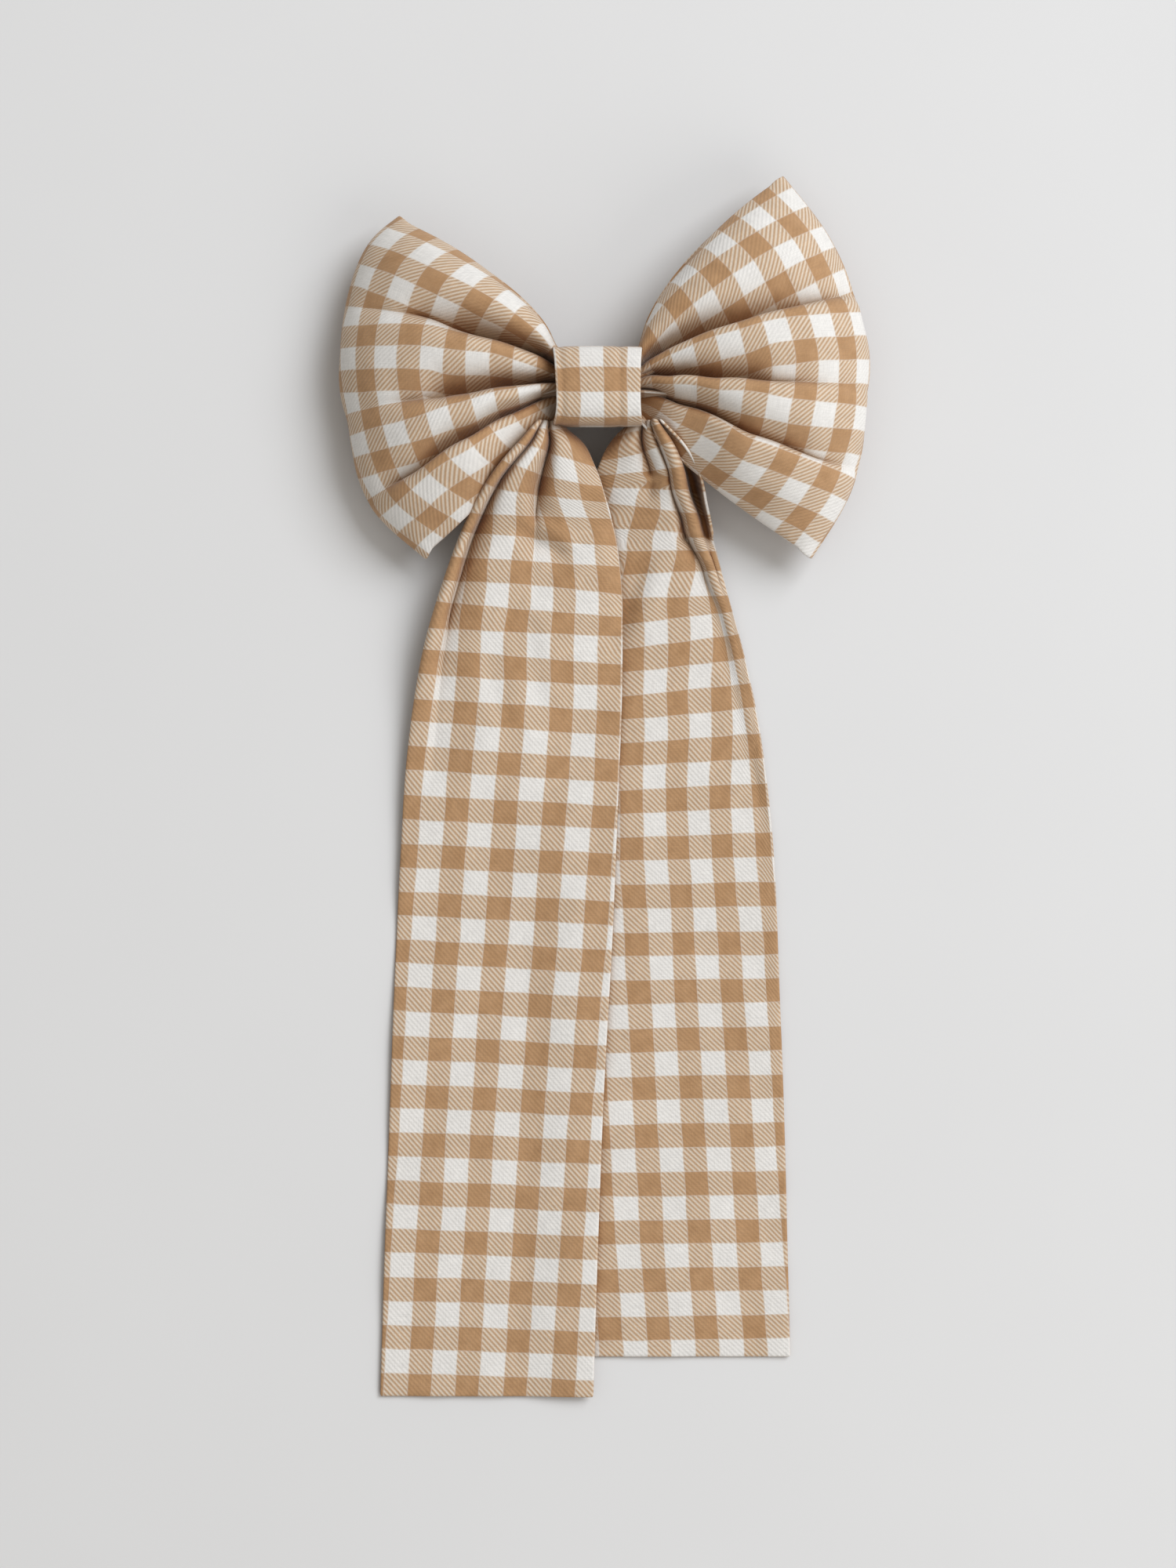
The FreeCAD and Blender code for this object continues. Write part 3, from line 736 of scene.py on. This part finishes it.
RIGHT_FOLDS = [
    # left edge
    [(12.0, 0.0, 2.5), (30.0, 0.0, 1.2), (60.0, 0.0, 0.3), (100.0, 0.0, 0.0)],
    # crest of the left pleat
    [
        (12.0, 0.25, 0.0), (24.0, 0.30, 0.0), (40.0, 0.22, 0.0), (55.0, 0.165, 0.0),
        (85.0, 0.14, 0.0), (257.0, 0.12, 0.0),
    ],
    # valley
    [
        (12.0, 0.45, 6.0), (22.0, 0.54, 5.0), (30.0, 0.55, 2.4), (40.0, 0.42, 0.7),
        (60.0, 0.32, 0.1), (85.0, 0.28, 0.0), (257.0, 0.24, 0.0),
    ],
    # crest of the middle pleat
    [
        (12.0, 0.60, 0.0), (24.0, 0.70, 0.0), (31.0, 0.71, 0.0), (40.0, 0.62, 0.0),
        (57.0, 0.49, 0.0), (85.0, 0.425, 0.0), (108.0, 0.395, 0.0), (257.0, 0.355, 0.0),
    ],
    # valley beside the rolled margin
    [
        (12.0, 0.66, 6.5), (24.0, 0.70, 7.0), (35.0, 0.79, 5.0), (47.0, 0.885, 2.0),
        (60.0, 0.925, 0.7), (80.0, 0.925, 0.3), (95.0, 0.91, 0.1), (120.0, 0.86, 0.0),
        (257.0, 0.70, 0.0),
    ],
    # ridge of the rolled margin
    [
        (12.0, 0.78, -1.5), (24.0, 0.785, -1.8), (35.0, 0.865, -0.9), (47.0, 0.945, -0.3),
        (60.0, 0.97, 0.0), (85.0, 0.96, 0.0), (110.0, 0.94, 0.0), (257.0, 0.90, 0.0),
    ],
    # valley under the ridge
    [
        (12.0, 0.86, 12.5), (24.0, 0.85, 12.0), (35.0, 0.905, 6.0), (47.0, 0.965, 0.8),
        (60.0, 0.98, 0.2), (85.0, 0.97, 0.1), (110.0, 0.955, 0.0), (257.0, 0.93, 0.0),
    ],
    # crest of the cloth turned under
    [
        (12.0, 0.93, 12.0), (24.0, 0.93, 11.0), (35.0, 0.96, 4.4), (47.0, 0.985, 0.4),
        (85.0, 0.985, 0.0), (200.0, 0.97, 0.0),
    ],
    # right edge
    [
        (12.0, 1.0, 13.0), (24.0, 1.0, 12.0), (35.0, 1.0, 6.0), (47.0, 1.0, 1.6),
        (58.0, 1.0, 0.5), (100.0, 1.0, 0.0),
    ],
]
# Soft bends in the tails: start, end, height and width.
LEFT_CREASES = [
    ((-19.5, -35.5), (-7.5, -42.0), 2.4, 3.2),
    ((-16.0, -60.0), (-13.0, -84.0), 0.7, 4.0),
    ((-33.0, -66.0), (-26.0, -92.0), -0.7, 4.5),
]
RIGHT_CREASES = [
    ((15.0, -44.0), (9.0, -62.0), 1.2, 4.0),
    ((34.0, -62.0), (46.0, -112.0), 0.7, 2.2),
]

TAIL_ROWS = 190
TAIL_ACROSS = 80
PAST_END = 300.0  # a distance below the knot where both tails are flat
LIES_FLAT = (70, 110)  # the left tail comes down onto the right one between these distances
RISES = (-22.0, -4.0)  # across the left tail, where it climbs onto the right one's edge
WAVES = 0.5  # height of the waves in the tails


def make_tail(name, stations, folds, creases, over, phase, seed):
    """One tail: it leaves the knot in pleats that open out, then lies flat on the surface.

    over says that it lies on the other tail's margin. phase is the pattern's start, along and
    across, then how far off the grain the tail was cut and the distance from which that shows."""
    stations = np.asarray(stations, float)
    left = np.stack([stations[:, 1], stations[:, 0], stations[:, 3]], axis=1)
    right = np.stack([stations[:, 2], stations[:, 0], stations[:, 4]], axis=1)
    knots = run_up((left + right) / 2)
    places = np.linspace(0, 1, TAIL_ROWS) * knots[-1]
    left, right = hermite(left, knots, places), hermite(right, knots, places)
    fine = np.linspace(0, 1, 401)
    rows, across = [], []
    for k in range(TAIL_ROWS):
        below = -left[k][1]
        base = left[k] + (right[k] - left[k]) * fine[:, None]
        if over:
            flat = smooth_step(below, *LIES_FLAT)
            step = smooth_step(base[:, 0], *RISES)
            low = left[k][2] + (right[k][2] - left[k][2]) * step
            base[:, 2] = base[:, 2] * (1 - flat) + low * flat

        def shape(deep):
            points = base.copy()
            points[:, 2] = np.maximum(points[:, 2] - deep, LYING)
            return points

        lines, flat_lines = fold_lines(folds, below), fold_lines(folds, PAST_END)
        row, cloth = gathered_row(shape, fine, lines, flat_lines, TAIL_WIDTH, TAIL_ACROSS, False)
        rows.append(row)
        across.append(cloth)
    rows = np.array(rows)
    steps = np.linalg.norm(np.diff(rows, axis=0), axis=2).mean(axis=1)
    along = np.concatenate([[0], np.cumsum(steps)])
    middle_x = rows[:, :, 0].mean(axis=1)
    lean = np.gradient(middle_x, along)[:, None]  # how far the tail runs sideways
    cloth_u = along[:, None] + lean * (rows[:, :, 0] - middle_x[:, None]) + phase[0]
    off_grain = phase[2] * np.maximum(along - phase[3], 0.0)  # how far the checks have slipped across
    cloth_v = np.array(across) + phase[1] + off_grain[:, None]
    wave = ripple(cloth_u, cloth_v, 34.0, seed) + 0.5 * ripple(cloth_u, cloth_v, 15.0, seed + 1)
    rows[:, :, 2] += WAVES * (wave + 1.0) * smooth_step(along, 25, 60)[:, None]
    for start, end, lift, width in creases:
        rows[:, :, 2] += crease(rows[:, :, 0], rows[:, :, 1], start, end, lift, width)
    rows[:, :, 2] = np.maximum(rows[:, :, 2], LYING)
    return sheet_mesh(name, rows, cloth_u, cloth_v), along[-1]


left_tail, left_tail_length = make_tail(
    "left_tail_cloth",
    stations=LEFT_TAIL,
    folds=LEFT_FOLDS,
    creases=LEFT_CREASES,
    over=True,
    phase=(-3.2, 1.0, 0.028, 100.0),
    seed=11,
)
right_tail, right_tail_length = make_tail(
    "right_tail_cloth",
    stations=RIGHT_TAIL,
    folds=RIGHT_FOLDS,
    creases=RIGHT_CREASES,
    over=False,
    phase=(-2.1, 1.7, -0.0595, 125.0),
    seed=23,
)


# ---------------------------------------------------------------- knot band

BAND_LOW, BAND_HIGH = (np.array(corner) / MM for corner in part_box("knot_band"))
BAND_ROWS = 120
BAND_ACROSS = 30
BAND_INSET = 0.4  # how far the upper and lower sides lie inside the CAD band
BAND_SHIFT = 0.2  # how much higher (in y) than the CAD band its middle is
BAND_LAP = 0.10  # how far each end runs past the middle of the back, as a part of the way round
BAND_CORNER = 0.45  # how square the band's section is: 1 is an oval, 0 is a box
BAND_BULGE = 0.5  # how far its front swells between the edges
BAND_CREASES = [(0.50, 0.06, 0.35), (-0.84, 0.05, 0.45)]  # place across, width and depth
BAND_DRAW = 0.35  # how far the edges draw in at the front
BAND_TAPER = 0.05  # how much narrower the front is at its lower edge
BAND_LEAN = 0.4  # how far the front's lower edge is shifted to the right
BAND_TUCK = 1.1  # how far the front's lower edge is drawn up
BAND_PHASE = (0.5 * CHECK + 0.1, 8.0)  # the pattern at the middle of the front, along and across
LAP_RISE = 0.085  # how far the outer end of the lap stands off, as a share of the band's size


def make_band():
    """The folded strip round the waist: it starts and ends at the back, one end over the other."""
    half_y = (BAND_HIGH[1] - BAND_LOW[1]) / 2 - CLOTH / 2 - BAND_INSET
    centre_y = (BAND_HIGH[1] + BAND_LOW[1]) / 2 + BAND_SHIFT
    half_z = (BAND_HIGH[2] - BAND_LOW[2]) / 2 - CLOTH / 2
    centre_z = (BAND_HIGH[2] + BAND_LOW[2]) / 2
    half_x = (BAND_HIGH[0] - BAND_LOW[0]) / 2
    angle = np.linspace(-BAND_LAP, 1 + BAND_LAP, BAND_ROWS) * 2 * math.pi

    def oval(value):
        return np.sign(value) * np.abs(value) ** BAND_CORNER

    y = half_y * oval(-np.sin(angle))
    z = -half_z * oval(np.cos(angle))
    second_half = np.where(np.arange(BAND_ROWS) > BAND_ROWS * 0.5, 1.0, 0.0)
    outward = second_half * smooth_step(angle / (2 * math.pi), 0.80, 0.92)
    grow = 1 + outward * LAP_RISE
    x = np.linspace(-1, 1, BAND_ACROSS)
    dents = sum(depth * np.exp(-(((x - at) / width) ** 2)) for at, width, depth in BAND_CREASES)
    points = np.zeros((BAND_ROWS, BAND_ACROSS, 3))
    for k in range(BAND_ROWS):
        front = max(0.0, -math.cos(angle[k]))
        bulge = BAND_BULGE * front * (1 - x**2)
        scale = grow[k] + (bulge - dents * (0.4 + 0.6 * front)) / half_z
        points[k, :, 0] = x * (half_x - BAND_DRAW * front * math.cos(angle[k]) ** 2)
        low = front * (0.5 - 0.5 * y[k] / half_y)  # 1 at the front's lower edge
        points[k, :, 0] = points[k, :, 0] * (1 - BAND_TAPER * low) + BAND_LEAN * low
        tuck_in = max(0.0, z[k] / half_z) ** 2 if y[k] < 0 else 0.0  # the front's lower edge
        points[k, :, 1] = centre_y + y[k] * scale + BAND_TUCK * tuck_in
        points[k, :, 2] = centre_z + z[k] * scale
    steps = np.linalg.norm(np.diff(points, axis=0), axis=2).mean(axis=1)
    along = np.concatenate([[0], np.cumsum(steps)])
    cloth_u = np.repeat(along[:, None], BAND_ACROSS, axis=1) - along[-1] / 2 + BAND_PHASE[0]
    cloth_v = np.repeat(-x[None, :] * half_x, BAND_ROWS, axis=0) + BAND_PHASE[1]
    band = sheet_mesh("knot_band_cloth", points, cloth_u, cloth_v, thickness=BAND_CLOTH)
    return band, along[-1], 2 * half_x


knot_band, band_length, band_width = make_band()


# ---------------------------------------------------------------- clip and threads

STEEL = plated_steel("nickel_plated_steel", (0.74, 0.73, 0.70, 1), 0.16, (300.0, 4000.0, 4000.0))
SPRING = plated_steel("spring_steel", (0.64, 0.65, 0.66, 1), 0.22, (250.0, 3500.0, 3500.0))
WIRE = plated_steel("bright_wire", (0.80, 0.80, 0.79, 1), 0.08, (2500.0, 2500.0, 2500.0))
THREAD = sewing_thread()

NODE_MATERIALS = {
    "barrette_plate": STEEL,
    "barrette_arm": STEEL,
    "clasp_base": STEEL,
    "tension_bar": SPRING,
    "clasp_tab_top": SPRING,
    "clasp_tab_bottom": SPRING,
    "hinge_pin": WIRE,
    "clasp_pins": WIRE,
    "clasp_rivet": WIRE,
    "binding_thread": THREAD,
    "band_stitches": THREAD,
}


def dress_nodes():
    """Gives the pieces that keep their CAD shape their materials."""
    for name, material in NODE_MATERIALS.items():
        node = bpy.data.objects[name]
        for slot in node.material_slots:
            slot.material = material


dress_nodes()


# ---------------------------------------------------------------- frame

for piece, node, body in (
    (left_loop, "left_loop", "bow"),
    (right_loop, "right_loop", "bow"),
    (knot_band, "knot_band", "bow"),
    (left_tail, "left_tail", None),
    (right_tail, "right_tail", None),
):
    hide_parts(node)
    if body:
        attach(piece, body)

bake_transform(left_tail)
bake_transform(right_tail)


# ---------------------------------------------------------------- stage, light, camera

CAMERA_HEIGHT = 0.9
CAMERA_AT = (-0.00245, -0.1041)  # the place on the surface that the camera is above
VIEW_HEIGHT = 0.4206  # what the frame's long side covers on the surface
SENSOR = 36.0  # its long side in millimetres
SURFACE_HALF = 20.0  # far enough that no view shows the surface's edge
BOW_MIDDLE = (0, -0.08, 0)  # where the window's light points
TAIL_TOPS = (0, -0.1, 0)  # where the fill light points
WORLD_COLOUR = (1.0, 0.955, 0.89, 1)
WORLD_STRENGTH = 0.37


def make_stage():
    """The surface that the bow lies on."""
    mesh = bpy.data.meshes.new("surface")
    half = SURFACE_HALF
    corners = [(-half, -half, 0), (half, -half, 0), (half, half, 0), (-half, half, 0)]
    mesh.from_pydata(corners, [], [(0, 1, 2, 3)])
    surface = bpy.data.objects.new("surface", mesh)
    bpy.context.scene.collection.objects.link(surface)
    mesh.materials.append(tabletop())


def make_light(name, place, aim, size, power, colour):
    """A soft rectangular light that points at its aim."""
    data = bpy.data.lights.new(name, "AREA")
    data.shape = "RECTANGLE"
    data.size, data.size_y = size
    data.energy = power
    data.color = colour
    light = bpy.data.objects.new(name, data)
    light.location = place
    light.rotation_euler = (Vector(aim) - Vector(place)).to_track_quat("-Z", "Y").to_euler()
    bpy.context.scene.collection.objects.link(light)


def make_world():
    """Soft warm light from everywhere."""
    world = bpy.data.worlds.new("studio")
    world.use_nodes = True
    back = world.node_tree.nodes["Background"]
    back.inputs[0].default_value = WORLD_COLOUR
    back.inputs[1].default_value = WORLD_STRENGTH
    bpy.context.scene.world = world


def make_camera():
    """Straight above the bow, looking down."""
    data = bpy.data.cameras.new("camera")
    data.sensor_width = SENSOR
    data.lens = data.sensor_width * CAMERA_HEIGHT / VIEW_HEIGHT
    camera = bpy.data.objects.new("camera", data)
    camera.location = (*CAMERA_AT, CAMERA_HEIGHT)
    bpy.context.scene.collection.objects.link(camera)
    bpy.context.scene.camera = camera


make_stage()
make_world()
make_light("window", (1.30, 0.95, 1.75), BOW_MIDDLE, (1.6, 1.4), 46.0, (0.94, 0.965, 1.0))
make_light("fill", (1.2, -1.4, 1.1), TAIL_TOPS, (1.8, 1.2), 10.0, (1.0, 0.98, 0.95))
make_camera()
bpy.context.scene.view_settings.view_transform = "Standard"
